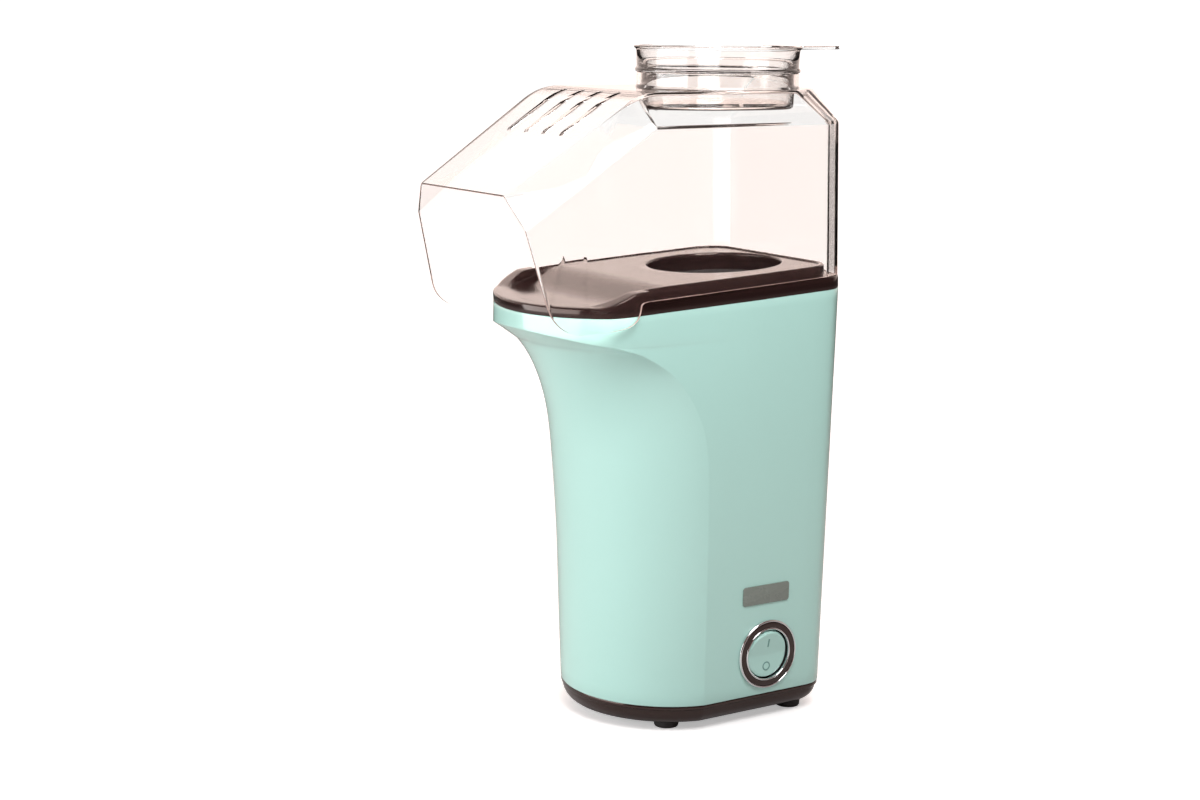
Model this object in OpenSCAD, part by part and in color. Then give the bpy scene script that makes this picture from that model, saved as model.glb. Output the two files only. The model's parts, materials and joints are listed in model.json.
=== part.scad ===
// Hot-air popcorn maker. Front is -Y, the switch is on the +X side, the floor is z = 0.
// Most modules are drawn about the popping chamber's axis and moved by on_axis().

/* [Overall] */
// Front to back, from the chute's lip to the end of the cup's tab
depth = 225; // [223:0.5:227]
// Distance of the chamber axis behind the middle of the depth
axis_y = 37; // [36.5:0.1:37.5]

/* [Body] */
// Half width of the body at its foot
foot_half = 53.1; // [52.6:0.1:53.6]
// Half width of the body under the collar
top_half = 57; // [56.5:0.1:57.5]
// Rear face behind the chamber axis, at the foot
rear_foot = 41; // [40.5:0.1:41.5]
// Rear face behind the chamber axis, under the collar
rear_top = 44; // [43.5:0.1:44.5]
// Wall of the moulded body
wall = 2; // [1.6:0.1:2.2]
// Height of the joint between base pan and body
pan_top = 14; // [13:0.5:15]
// Height of the collar's underside on the chamber axis
collar_z = 218.5; // [217:0.5:220]
// Forward slope of the collar, in degrees
collar_tilt = 2.85; // [2.4:0.05:3.2]

/* [Popping chamber] */
// Inner radius of the chamber
chamber_r = 33; // [32:0.5:33.5]
// Height of the chamber's floor
chamber_floor = 130; // [126:1:134]
// Height of the chamber's rim
chamber_top = 217; // [216:0.5:217]

/* [Clear cover] */
// Height of the cover's top face
cover_z = 319.3; // [318:0.5:321]
// Outer radius of the neck that holds the cup
neck_r = 41.2; // [40.8:0.1:41.4]
// Height of the neck's rim
neck_z = 327; // [325:0.5:328]
// Moulding thickness of the clear parts
clear_wall = 1.8; // [1.5:0.1:2]

/* [Cup] */
// Height of the cup's rim, which is the top of the whole object
cup_top = 340; // [338:0.5:342]
// Radius of the cup's flat lip
lip_r = 42.7; // [42:0.1:43]

/* [Switch] */
// Distance of the switch behind the chamber axis
switch_y = -1; // [-3:0.5:1]
// Height of the switch's centre
switch_z = 35.2; // [34:0.2:37]
// Tilt of the rocker either side of level, in degrees
rocker_tilt = 6; // [4:0.5:7]

/* [Hidden] */
$fn = 64;

mint = [0.68, 0.86, 0.80];
cocoa = [0.20, 0.14, 0.14];
clear_tint = [0.95, 0.90, 0.88, 0.4];
alloy = [0.75, 0.76, 0.78];
steel = [0.55, 0.56, 0.58];
mica = [0.80, 0.74, 0.62];

fit_gap = 0.07;      // radial clearance of every running fit
screw_r = 1.4;
pilot_r = 1.5;
head_r = 2.8;
head_h = 2;

rocker_ball = 13.2;  // radius of the rocker's rounded sides about its pivot
rocker_pivot = -4;   // pivot depth below the body's side face
rocker_valley = 4.2; // height of the dished face's middle above the pivot
trunnion_r = 1.3;
bend_r = 39;         // bend between the cover's top and its front slope

can_r = 17;
can_z = [30, 62];
cap_h = 4;
boss_h = 2.5;
shaft_r = 1.2;
bush_r = 3.5;
duct_r = 39.3;
duct_wall = 1.5;
duct_foot = 62;
bracket_t = 2.5;
bracket_bolts = [60, 180, 300]; // angles round the axis
bracket_bolt_r = 35;
fan_r = 33;
fan_z = [67, 81];
former_z = [92, 124];
coil_rings = [[15, 98], [27, 98], [15, 108], [27, 108], [15, 118], [27, 118]];
coil_wire = 0.9;

gland_z = 32;
gland_bore = 3.4;
gland_r = 5.5;

feet_at = [[34, -49], [40, 24]];
base_screws_at = [[43, -28], [39, 26]];
duct_lugs_at = [[45, -8], [-45, -8], [0, -46]];
lug_z = [204, 208];

// Heights on the collar are above its sloping lower face
deck_top = 11.3;
deck_t = 2.4;
deck_edge = 6;       // how far the raised wall stands in from the collar's edge
ledge_h = 6.8;
ledge_start = -77;
wall_h = 12;
deck_line = [[-130, 4.9], [-96, 4.9], [-88, 5.2], [-82, 6.4], [-76, 8.4], [-70, 10.2], [-64, 11.1],
    [-58, deck_top], [60, deck_top]];

side_lean = atan((top_half - foot_half) / (collar_z - pan_top));

// Rings of the body below the collar: height, where the front column meets the side, and its nose
front_rings = [
    [14, -39.4, -81], [94, -39.7, -84.5], [130, -40.5, -87.6], [150, -43, -89.1], [163.6, -48, -92],
    [175.5, -55.5, -96.2], [185.5, -65, -101.3], [194, -79, -107], [198, -90, -111.3]];
nose_y = -120;          // foremost point of the collar
nose_corner = [54.5, -96]; // where the collar's nose meets its sides
lip_edge = [199.5, 5];  // height of the nose's lower edge at its corners, and its rise to the middle

function blend(a, b, t) = a + (b - a) * t;
function up(z) = (z - pan_top) / (collar_z - pan_top);
function half_at(z) = blend(foot_half, top_half, up(z));
function rear_at(z) = blend(rear_foot, rear_top, up(z));
function flip(points) = [for (i = [len(points) - 1:-1:0]) [-points[i][0], points[i][1]]];

// Arc through [-w, y_side], [0, y_nose] and [w, y_side]
function nose_arc(w, y_side, y_nose, steps = 16) =
    let (sag = y_side - y_nose, r = (w * w + sag * sag) / (2 * sag), a = asin(w / r))
    [for (i = [0:steps]) let (t = blend(-a, a, i / steps)) [r * sin(t), y_nose + r - r * cos(t)]];

// Right side and rear corner of a plan outline
function flank(w, rear) = [[w, -30], [w, 0], [w, rear - 14.5], [w - 3.5, rear - 5.5], [w - 12.5, rear]];

// A whole plan outline, anticlockwise from the left end of the nose
function plan(w, w_side, y_side, y_nose, rear) = concat(
    nose_arc(w_side, y_side, y_nose), flank(w, rear), flip(flank(w, rear)));

function ring(r, inset) =
    let (z = r[0], w = half_at(z), side = w - 2.5 * max(0, -r[1] - 39.4) / 56.6)
    [for (p = plan(w - inset, side - inset, r[1], r[2] + inset, rear_at(z) - inset)) [p[0], p[1], z]];

function collar_plan(inset) = plan(top_half - inset, nose_corner[0] - inset,
    nose_corner[1] + inset / 2, nose_y + inset, rear_top - inset);
function edge_z(p) = lip_edge[0] + (p[1] < nose_corner[1] + 6
    ? lip_edge[1] * (1 - pow(p[0] / nose_corner[0], 2)) : 0);
function collar_at(y) = collar_z + y * tan(collar_tilt);
function edge_ring(inset) = [for (p = plan(half_at(lip_edge[0]) - inset, nose_corner[0] - inset,
    nose_corner[1] + inset / 2, nose_y + inset, rear_at(lip_edge[0]) - inset)) [p[0], p[1], edge_z(p)]];
function rim_ring(inset) = [for (p = collar_plan(inset)) [p[0], p[1], collar_at(p[1])]];

// Faces between the closed rings of n points, then across the first and the last ring
function band_faces(rows, n, first = 0) = [for (k = [0:rows - 2], i = [0:n - 1], half = [0, 1])
    let (a = first + k * n + i, b = first + k * n + (i + 1) % n)
    half == 0 ? [a, a + n, b] : [b, a + n, b + n]];

// Tube whose outer and inner walls are the same number of rings
module loft_tube(outer, inner) {
    n = len(outer[0]);
    rows = len(outer);
    flat = [for (r = concat(outer, inner)) each r];
    other = rows * n;
    inside = [for (f = band_faces(rows, n, other)) [f[2], f[1], f[0]]];
    foot = [for (i = [0:n - 1], half = [0, 1]) let (j = (i + 1) % n)
        half == 0 ? [i, j, other + i] : [j, other + j, other + i]];
    last = (rows - 1) * n;
    head = [for (i = [0:n - 1], half = [0, 1]) let (j = (i + 1) % n)
        half == 0 ? [last + i, other + last + i, last + j]
                  : [last + j, other + last + i, other + last + j]];
    polyhedron(flat, concat(band_faces(rows, n), inside, foot, head));
}

// Solid through rings that each lie level
module loft_solid(rings) {
    n = len(rings[0]);
    rows = len(rings);
    last = (rows - 1) * n;
    middles = [[0, nose_y / 6, rings[0][0][2]], [0, nose_y / 6, rings[rows - 1][0][2]]];
    polyhedron(concat([for (r = rings) each r], middles), concat(band_faces(rows, n),
        [for (i = [0:n - 1]) [i, (i + 1) % n, rows * n]],
        [for (i = [0:n - 1]) [last + (i + 1) % n, last + i, rows * n + 1]]));
}

module on_axis() translate([0, axis_y, 0]) children();

// Frame on the body's right side at height z and y behind the axis: +z out, +x down
module on_side(y, z) on_axis() translate([half_at(z), y, z]) rotate([0, 90 + side_lean, 0]) children();

// Frame of the sloping collar, z = 0 on its underside
module on_collar() on_axis() translate([0, 0, collar_z]) rotate([collar_tilt, 0, 0]) children();

module tube(r_out, r_in, z0, z1) translate([0, 0, z0]) difference() {
    cylinder(r = r_out, h = z1 - z0);
    translate([0, 0, -1]) cylinder(r = r_in, h = z1 - z0 + 2);
}

module both_sides(points) for (p = points, s = [-1, 1]) translate([s * p[0], p[1], 0]) children();

// Pan-head screw pointing up from height z
module screw(z, length, r = screw_r) translate([0, 0, z]) {
    cylinder(r = head_r, h = head_h, $fn = 32);
    cylinder(r = r, h = head_h + length, $fn = 32);
}

module body_shell() color(mint) difference() {
    union() {
        on_axis() loft_tube(
            concat([for (r = front_rings) ring(r, 0)], [edge_ring(0), rim_ring(0)]),
            concat([for (r = front_rings) ring(r, wall)], [edge_ring(wall), rim_ring(wall)]));
        on_axis() both_sides(base_screws_at) translate([0, 0, pan_top]) difference() {
            cylinder(r = 4.2, h = 20);
            translate([0, 0, -1]) cylinder(r = pilot_r, h = 18);
        }
    }
    on_side(switch_y, switch_z) translate([0, 0, -6]) cylinder(r = 16.2, h = 12);
    on_axis() translate([0, rear_foot - 8, gland_z]) rotate([-90, 0, 0]) cylinder(r = gland_r, h = 16);
}

// Side profile swept across the collar
module across(profile) rotate([90, 0, 90]) translate([0, 0, -70]) linear_extrude(140) polygon(profile);

// Band of the collar's outline between two insets, from one height to another
module collar_band(inset, inner, low, high) translate([0, 0, low]) linear_extrude(high - low) difference() {
    polygon(collar_plan(inset));
    polygon(collar_plan(inner));
}

module deck_collar() color(cocoa) union() {
    difference() {
        on_collar() union() {
            collar_band(0, deck_edge + 1, 2.5, 5);
            collar_band(0, 2.5, 0, 5);
            intersection() {
                collar_band(0, deck_edge, 3, ledge_h);
                translate([-70, ledge_start, 0]) cube([140, 140, 30]);
            }
            intersection() {
                collar_band(0, deck_edge + 1, 3, wall_h);
                across([[-130, 2], [-130, 5], [-100, 5], [-85, 11], [ledge_start + 0.01, 11.4],
                    [ledge_start + 0.01, 2]]);
            }
            intersection() {
                collar_band(deck_edge - 0.5, deck_edge + 1.5, 3, wall_h);
                translate([-70, ledge_start, 0]) cube([140, 140, 30]);
            }
            intersection() {
                linear_extrude(wall_h) polygon(collar_plan(deck_edge));
                across(concat(deck_line, [for (i = [len(deck_line) - 1:-1:0]) deck_line[i] - [0, deck_t]]));
            }
        }
        on_axis() translate([0, 0, 200]) cylinder(r = chamber_r + 1.5, h = 60);
    }
    intersection() {
        on_axis() tube(chamber_r + 3.2, chamber_r + 1.5, 215, 240);
        on_collar() translate([-70, -140, 2.5]) cube([140, 240, deck_top - 3.5]);
    }
    difference() {
        on_axis() for (p = duct_lugs_at) translate([p[0], p[1], lug_z[1]]) difference() {
            cylinder(r = 4.2, h = 22);
            translate([0, 0, -1]) cylinder(r = pilot_r, h = 9);
        }
        on_collar() translate([-70, -140, 9.5]) cube([140, 240, 30]);
    }
}

module base_pan() color(cocoa) on_axis() difference() {
    foot = front_rings[0];
    loft_solid([for (s = [[4.5, 5], [8, 2], [11.5, 0.4], [pan_top, 0.2]])
        [for (p = ring(foot, s[1])) [p[0], p[1], s[0]]]]);
    loft_solid([for (s = [[7, 7.5], [pan_top + 1, 2.6]]) [for (p = ring(foot, s[1])) [p[0], p[1], s[0]]]]);
    for (x = [-24:6:24]) translate([x - 1.5, -22, 0]) cube([3, 40, 20]);
    both_sides(base_screws_at) cylinder(r = pilot_r + 0.3, h = 20);
    both_sides(base_screws_at) cylinder(r = head_r + 0.3, h = 5 + head_h);
}

module feet() color([0.12, 0.12, 0.12]) on_axis() both_sides(feet_at) rotate_extrude()
    polygon([[0, 0], [5.6, 0], [6.3, 0.8], [6.8, 4.5], [0, 4.5]]);

module base_screws() color(steel) on_axis() both_sides(base_screws_at) screw(5, 22);

module popping_chamber() color(alloy) on_axis() difference() {
    union() {
        tube(chamber_r + 1, chamber_r, chamber_floor, chamber_top);
        tube(duct_r, chamber_r, chamber_top - 1, chamber_top);
        translate([0, 0, chamber_floor]) cylinder(r = chamber_r + 1, h = 1.5);
        translate([0, 0, chamber_floor]) cylinder(r1 = 20, r2 = 6, h = 9);
    }
    for (a = [0:20:340]) rotate([0, 0, a]) translate([chamber_r, 0, chamber_floor + 9])
        rotate([30, 0, 0]) cube([6, 2.6, 12], center = true);
}

module chamber_seal() color([0.25, 0.22, 0.22]) difference() {
    on_axis() tube(chamber_r + 4, chamber_r + 1.6, chamber_top, chamber_top + 8);
    on_collar() translate([-70, -140, 2.5]) cube([140, 240, 30]);
}

module air_duct() color(mica) on_axis() union() {
    tube(duct_r, duct_r - duct_wall, duct_foot, chamber_top - 1);
    for (a = bracket_bolts) rotate([0, 0, a]) translate([bracket_bolt_r, 0, duct_foot]) difference() {
        cylinder(r = 3.2, h = 4);
        translate([0, 0, -1]) cylinder(r = pilot_r + 0.1, h = 4);
    }
    for (p = duct_lugs_at) difference() {
        hull() {
            translate([p[0], p[1], lug_z[0]]) cylinder(r = 4.2, h = lug_z[1] - lug_z[0]);
            rotate([0, 0, atan2(p[1], p[0])]) translate([duct_r - 1, -6, lug_z[0]])
                cube([0.5, 12, lug_z[1] - lug_z[0]]);
        }
        translate([p[0], p[1], lug_z[0] - 1]) cylinder(r = pilot_r + 0.2, h = 8);
    }
}

module duct_screws() color(steel) on_axis() for (p = duct_lugs_at)
    translate([p[0], p[1], 0]) screw(lug_z[0] - head_h, 10);

module heater_former() color(mica) on_axis() difference() {
    for (a = [0, 90]) rotate([0, 0, a]) translate([-36, -0.6, former_z[0]])
        cube([72, 1.2, former_z[1] - former_z[0]]);
    for (c = coil_rings) translate([0, 0, c[1]]) rotate_extrude()
        translate([c[0], 0]) circle(r = coil_wire + 0.15, $fn = 24);
}

module heater_coil() color(steel) on_axis() for (c = coil_rings) translate([0, 0, c[1]])
    rotate_extrude() translate([c[0], 0]) circle(r = coil_wire, $fn = 24);

module thermostat() color(steel) on_axis() translate([0, -duct_r - 0.1, 150]) rotate([90, 0, 0]) {
    cylinder(r = 8, h = 4);
    cylinder(r = 6, h = 8);
}

module thermal_fuse() color(alloy) on_axis() rotate([0, 0, -60]) translate([duct_r + 2.2, 0, 140]) {
    cylinder(r = 2, h = 12, $fn = 32);
    translate([0, 0, -8]) cylinder(r = 0.6, h = 28, $fn = 24);
}

module motor_bracket() color(mica) on_axis() difference() {
    translate([0, 0, duct_foot - bracket_t]) cylinder(r = duct_r, h = bracket_t);
    translate([0, 0, 50]) cylinder(r = can_r + 0.1, h = 20);
    for (a = [0:40:320]) rotate([0, 0, a]) translate([27.5, 0, 50]) cylinder(r = 7.5, h = 20);
    for (a = bracket_bolts) rotate([0, 0, a]) translate([bracket_bolt_r, 0, 50])
        cylinder(r = pilot_r + 0.1, h = 20);
}

module bracket_screws() color(steel) on_axis() for (a = bracket_bolts) rotate([0, 0, a])
    translate([bracket_bolt_r, 0, 0]) screw(duct_foot - bracket_t - head_h, bracket_t + 2.5);

module motor_can() color(steel) on_axis() difference() {
    union() {
        translate([0, 0, can_z[0]]) cylinder(r = can_r, h = can_z[1] - can_z[0]);
        translate([0, 0, can_z[1]]) cylinder(r = bush_r + 1.5, h = boss_h);
    }
    translate([0, 0, can_z[0] - 1]) cylinder(r = can_r - 1.2, h = can_z[1] - can_z[0] - 0.5);
    translate([0, 0, can_z[0]]) cylinder(r = bush_r, h = 60);
}

module motor_magnets() color([0.25, 0.25, 0.27]) on_axis() difference() {
    tube(can_r - 1.3, 12.5, can_z[0] + 5, can_z[1] - 6);
    translate([-4, -30, 0]) cube([8, 60, 100]);
}

module motor_end_cap() color([0.9, 0.88, 0.82]) on_axis() difference() {
    union() {
        translate([0, 0, can_z[0] - cap_h]) cylinder(r = can_r, h = cap_h);
        translate([0, 0, can_z[0] - cap_h - 3]) cylinder(r = bush_r + 1.5, h = 3);
    }
    translate([0, 0, 10]) cylinder(r = bush_r, h = 40);
    for (s = [-1, 1]) translate([s * 13, 0, 10]) cylinder(r = 1.1, h = 40);
}

module motor_bushes() color([0.8, 0.6, 0.3]) on_axis() {
    tube(bush_r, shaft_r + fit_gap, can_z[1] - 2, can_z[1] + boss_h);
    tube(bush_r, shaft_r + fit_gap, can_z[0] - cap_h - 3, can_z[0] - 0.5);
}

module motor_screws() color(steel) on_axis() for (s = [-1, 1])
    translate([s * 13, 0, can_z[0] - cap_h - 1.5]) {
        cylinder(r = 2, h = 1.5, $fn = 32);
        cylinder(r = 1, h = 6, $fn = 32);
    }

module fan_impeller() color([0.85, 0.85, 0.83]) on_axis() difference() {
    union() {
        translate([0, 0, fan_z[0]]) cylinder(r = 6, h = 12);
        translate([0, 0, fan_z[0]]) cylinder(r = fan_r, h = 1.5);
        for (a = [0:30:330]) rotate([0, 0, a]) translate([5, -0.7, fan_z[0]]) rotate([0, 0, -12])
            cube([27, 1.4, fan_z[1] - fan_z[0]]);
    }
    translate([0, 0, 60]) cylinder(r = shaft_r, h = 40);
}

module motor_shaft() color(alloy) on_axis() translate([0, 0, 21.5]) cylinder(r = shaft_r, h = 60);

module motor_armature() color([0.7, 0.4, 0.2]) on_axis() tube(11.5, shaft_r, 37, 55);

module rectifier_board() color([0.2, 0.45, 0.25]) on_axis() translate([-35, -14, 30]) cube([1.6, 26, 18]);

module rectifier_diodes() color([0.15, 0.15, 0.16]) on_axis() for (y = [-10, -4, 2, 8])
    translate([-36.6, y, 34]) cylinder(r = 1.6, h = 9, $fn = 32);

module switch_case() color([0.15, 0.13, 0.13]) on_side(switch_y, switch_z) difference() {
    translate([0, 0, -20]) cylinder(r = 14.8, h = 19.9);
    translate([0, 0, -15]) cylinder(r = rocker_ball + 0.4, h = 20);
    translate([0, 20, rocker_pivot]) rotate([90, 0, 0]) cylinder(r = trunnion_r + fit_gap, h = 40);
}

module switch_terminals() color([0.8, 0.65, 0.35]) on_side(switch_y, switch_z) for (y = [-7, 0, 7])
    translate([-3, y - 0.4, -27]) cube([6, 0.8, 7]);

module switch_bezel() color(cocoa) on_side(switch_y, switch_z) rotate_extrude()
    polygon([[13.9, 0.05], [13.9, 1.5], [16.8, 1.3], [16.8, 0.05], [16.1, 0.05], [16.1, -3], [14.9, -3],
        [14.9, 0.05]]);

module bezel_outer_ring() color([0.9, 0.9, 0.92]) on_side(switch_y, switch_z) rotate_extrude()
    polygon([[16.85, 0.05], [16.85, 1.5], [17.3, 1.8], [17.9, 1.2], [17.9, 0.05]]);

module bezel_inner_ring() color([0.9, 0.9, 0.92]) on_side(switch_y, switch_z) rotate_extrude()
    polygon([[12.9, 0.4], [12.9, 1.6], [13.3, 2], [13.85, 1.6], [13.85, 0.4]]);

module rocker_button() color(mint) on_side(switch_y, switch_z) translate([0, 0, rocker_pivot])
    rotate([0, rocker_tilt, 0]) {
        difference() {
            sphere(r = rocker_ball, $fn = 96);
            intersection_for (s = [-1, 1]) rotate([0, s * rocker_tilt, 0])
                translate([-20, -20, rocker_valley]) cube([40, 40, 20]);
            translate([-20, -20, -25]) cube([40, 40, 20]);
        }
        rotate([90, 0, 0]) cylinder(r = trunnion_r, h = 29, center = true);
    }

module badge_plate() color([0.5, 0.55, 0.55]) on_side(-3, 67) translate([0, 0, 0.02]) linear_extrude(0.7)
    hull() for (x = [-1, 1], y = [-1, 1]) translate([x * 3.4, y * 13]) circle(r = 1.6, $fn = 32);

module cord_gland() color(cocoa) on_axis() translate([0, rear_at(gland_z), gland_z])
    rotate([-90, 0, 0]) difference() {
        union() {
            translate([0, 0, -10]) cylinder(r = gland_r - 0.05, h = 12);
            translate([0, 0, 0.15]) cylinder(r = 8, h = 1.85);
        }
        translate([0, 0, -11]) cylinder(r = gland_bore, h = 20);
    }

// Corners of the clear cover, right half; inset moves them in from the outer face
function cover_corners(inset) = let (i = inset, mouth_y = -depth / 2 - axis_y) [
    for (a = [0:8.275:33.1])
        [46 - i - (a > 17 ? 0.4 : 0), -66.4 - bend_r * sin(a), cover_z - i - bend_r * (1 - cos(a))],
    [46 - i, 15, cover_z - i], [42 - i, 26 - i, cover_z - i],
    [30 - i, 37.5 - i, cover_z - i], [18, 42 - i, cover_z - i],
    [57 - i, -76, 303.5 - i / 2], [57 - i, 27, 304 - i / 2], [53.5 - i, 36 - i, 304 - i / 2],
    [44.5 - i / 2, 42 - i, 304 - i / 2],
    [40 - i / 2, mouth_y - i, 272.7 - i], [52.2 - i, -144.3 - i, 257.6 - i / 2],
    [56.4 - i, -134 - i, 219.4 - 2 * i], [57.2 - i, -127, 209.5 - 3 * i], [56.5 - i, -117, 277],
    [58.5 - i, -114, 208 - 3 * i],
    [58.5 - i, -80, 208 - 3 * i], [57.3 - i, 29.5, 208 - 3 * i], [53.8 - i, 38.5 - i, 208 - 3 * i],
    [44.8 - i / 2, 44.2 - i, 208 - 3 * i]];

module corner_hull(corners) hull() for (p = corners, s = [-1, 1])
    translate([s * p[0], p[1], p[2]]) cube(0.02, center = true);

module clear_cover() color(clear_tint) difference() {
    union() {
        on_axis() corner_hull(cover_corners(0.01));
        on_axis() translate([0, 0, cover_z - 1]) cylinder(r = neck_r, h = neck_z - cover_z + 1);
    }
    on_axis() corner_hull(cover_corners(clear_wall));
    on_axis() translate([0, 0, 300]) cylinder(r = neck_r - clear_wall, h = 60);
    on_collar() translate([-70, -84, -40]) cube([140, 200, 46.9]);
    on_axis() for (x = [-24, -8, 8, 24]) translate([x - 1.5, -109, 290]) cube([3, 34, 40]);
}

module measuring_cup() color(clear_tint) on_axis() union() {
    rotate_extrude() polygon([[0, 309], [38, 309], [38.9, neck_z + 0.1], [42, neck_z + 0.1],
        [42, neck_z + 1.6], [neck_r, neck_z + 1.9], [neck_r + 0.4, cup_top - 1.6], [lip_r, cup_top - 1.4],
        [lip_r, cup_top], [neck_r - 1.2, cup_top], [neck_r - 1.5, neck_z + 1.6], [37.3, neck_z],
        [36.4, 310.6], [0, 310.6]]);
    difference() {
        translate([0, 0, cup_top - 1.8]) linear_extrude(1.8) union() {
            polygon([[-14, 38], [14, 38], [10, depth / 2 - axis_y - 8], [-10, depth / 2 - axis_y - 8]]);
            translate([-2, depth / 2 - axis_y - 8]) square([4, 8]);
            for (s = [-1, 1]) translate([s * 2, depth / 2 - axis_y - 8]) circle(r = 8);
        }
        translate([0, 0, 300]) cylinder(r = neck_r, h = 60);
    }
}

body_shell();
deck_collar();
base_pan();
feet();
base_screws();
popping_chamber();
chamber_seal();
air_duct();
duct_screws();
heater_former();
heater_coil();
thermostat();
thermal_fuse();
motor_bracket();
bracket_screws();
motor_can();
motor_magnets();
motor_end_cap();
motor_bushes();
motor_screws();
fan_impeller();
motor_shaft();
motor_armature();
rectifier_board();
rectifier_diodes();
switch_case();
switch_terminals();
switch_bezel();
bezel_outer_ring();
bezel_inner_ring();
rocker_button();
badge_plate();
cord_gland();
clear_cover();
measuring_cup();
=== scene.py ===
"""Hot-air popcorn maker: moulded mint body, dark collar and base, clear chute cover and cup."""

import json
import math

import bmesh
import bpy
import numpy as np
from mathutils import Matrix, Vector


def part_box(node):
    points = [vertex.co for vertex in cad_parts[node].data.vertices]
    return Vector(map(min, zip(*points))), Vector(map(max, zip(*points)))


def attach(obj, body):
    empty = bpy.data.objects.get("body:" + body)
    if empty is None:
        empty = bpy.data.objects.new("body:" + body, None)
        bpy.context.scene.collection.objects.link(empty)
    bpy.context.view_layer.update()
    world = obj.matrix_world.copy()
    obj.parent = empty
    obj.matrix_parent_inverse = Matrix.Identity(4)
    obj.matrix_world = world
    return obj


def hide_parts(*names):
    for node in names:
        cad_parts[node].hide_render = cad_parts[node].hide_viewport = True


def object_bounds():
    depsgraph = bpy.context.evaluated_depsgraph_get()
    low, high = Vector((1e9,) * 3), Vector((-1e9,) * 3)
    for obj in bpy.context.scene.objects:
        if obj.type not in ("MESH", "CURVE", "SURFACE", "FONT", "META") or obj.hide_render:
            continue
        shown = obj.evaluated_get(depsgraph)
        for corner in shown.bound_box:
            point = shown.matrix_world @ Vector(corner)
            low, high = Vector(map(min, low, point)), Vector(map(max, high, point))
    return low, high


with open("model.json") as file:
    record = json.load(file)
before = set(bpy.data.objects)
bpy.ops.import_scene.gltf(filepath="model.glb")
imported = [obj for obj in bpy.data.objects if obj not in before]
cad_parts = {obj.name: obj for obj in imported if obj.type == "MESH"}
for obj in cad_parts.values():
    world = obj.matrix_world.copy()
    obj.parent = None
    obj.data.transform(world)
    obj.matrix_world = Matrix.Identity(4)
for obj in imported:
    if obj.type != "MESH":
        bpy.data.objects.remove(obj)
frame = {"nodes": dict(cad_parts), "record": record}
cad_bounds = [list(corner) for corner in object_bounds()]

# Shapes below are drawn in millimetres about the popping chamber's axis: -Y is the chute, +X the switch.
MM = 0.001
shaft_low, shaft_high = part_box("motor_shaft")
AXIS_Y = (shaft_low.y + shaft_high.y) / 2
FRONT_Y = cad_bounds[0][1] / MM - AXIS_Y / MM
BACK_Y = cad_bounds[1][1] / MM - AXIS_Y / MM
CUP_TOP = cad_bounds[1][2] / MM

FOOT_HALF, TOP_HALF = 53.1, 57.0
REAR_FOOT, REAR_TOP = 41.0, 44.0
WALL = 2.0
PAN_TOP = 14.0
COLLAR_Z, COLLAR_TILT = 218.5, math.radians(2.85)
LEAN = math.atan((TOP_HALF - FOOT_HALF) / (COLLAR_Z - PAN_TOP))
CHAMBER_R = 33.0
COVER_Z, NECK_R, NECK_Z, CLEAR_WALL = 319.3, 41.2, 327.0, 1.8
BEND_R = 39.0
NOSE_Y, NOSE_CORNER = -120.0, (54.5, -96.0)
LIP_EDGE, LIP_RISE = 199.5, 5.0
LEDGE_START, LEDGE_HEIGHT = -77.0, 6.8
SWITCH_Y, SWITCH_Z = -1.0, 35.2
SWITCH_HOLE_R, GLAND_Z, GLAND_R = 16.2, 32.0, 5.5
ROCKER_PIVOT, ROCKER_BALL, ROCKER_TILT = -4.0, 13.2, math.radians(6)
BADGE_Y, BADGE_Z = -3, 67
SLOTS_X, SLOT_Y, SLOT_SIZE = (-24, -8, 8, 24), -92, (3.0, 34.0)
SCREWS_AT = ((43, -28), (39, 26))
FEET_AT = (((34, -49), "front"), ((40, 24), "rear"))
ARC_STEPS, SIDE_STEPS = 72, 38

# Height, where the front column meets the side, and the column's nose
FRONT_RINGS = (
    (14, -39.4, -81), (54, -39.6, -82.8), (94, -39.8, -84.5), (130, -40.6, -87.4), (150, -43, -89.6),
    (163.6, -48, -92.4), (175.5, -55.5, -96.4), (185.5, -65, -101.3), (194, -79, -107), (198, -90, -111.6),
)


# ---------------------------------------------------------------- outlines and paths

def smooth_path(points, steps):
    """Catmull-Rom curve through the points; works on rows of any shape."""
    p = np.array(points, float)
    ends = np.concatenate([[2 * p[0] - p[1]], p, [2 * p[-1] - p[-2]]])
    out = []
    for k in range(len(p) - 1):
        a, b, c, d = ends[k:k + 4]
        for t in np.arange(steps) / steps:
            out.append(0.5 * (2 * b + (c - a) * t + (2 * a - 5 * b + 4 * c - d) * t**2
                              + (3 * b - a - 3 * c + d) * t**3))
    out.append(p[-1])
    return np.array(out)


def spread(a, b, count):
    """Points from a up to, but not including, b."""
    a, b = np.array(a, float), np.array(b, float)
    return [a + (b - a) * i / count for i in range(count)]


def up(z):
    return (z - PAN_TOP) / (COLLAR_Z - PAN_TOP)


def half_at(z):
    return FOOT_HALF + (TOP_HALF - FOOT_HALF) * up(z)


def rear_at(z):
    return REAR_FOOT + (REAR_TOP - REAR_FOOT) * up(z)


def nose_arc(w, y_side, y_nose):
    sag = y_side - y_nose
    r = (w * w + sag * sag) / (2 * sag)
    a = math.asin(min(1, w / r))
    return [(r * math.sin(t), y_nose + r - r * math.cos(t)) for t in np.linspace(-a, a, ARC_STEPS + 1)]


def flank(w, w_side, y_side, rear):
    """Right side from just behind the nose's corner, round the rear corner, to the middle of the back."""
    side = spread((w_side, y_side), (w, -20), SIDE_STEPS)[1:] + spread((w, -20), (w, rear - 14.5), 6)
    corner = smooth_path([(w, rear - 14.5), (w - 0.9, rear - 9.8), (w - 3.6, rear - 5.4),
                          (w - 7.6, rear - 1.9), (w - 12.5, rear)], 4)
    back = spread((w - 12.5, rear), (0, rear), 6)[1:]
    return side + list(corner) + back


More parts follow.
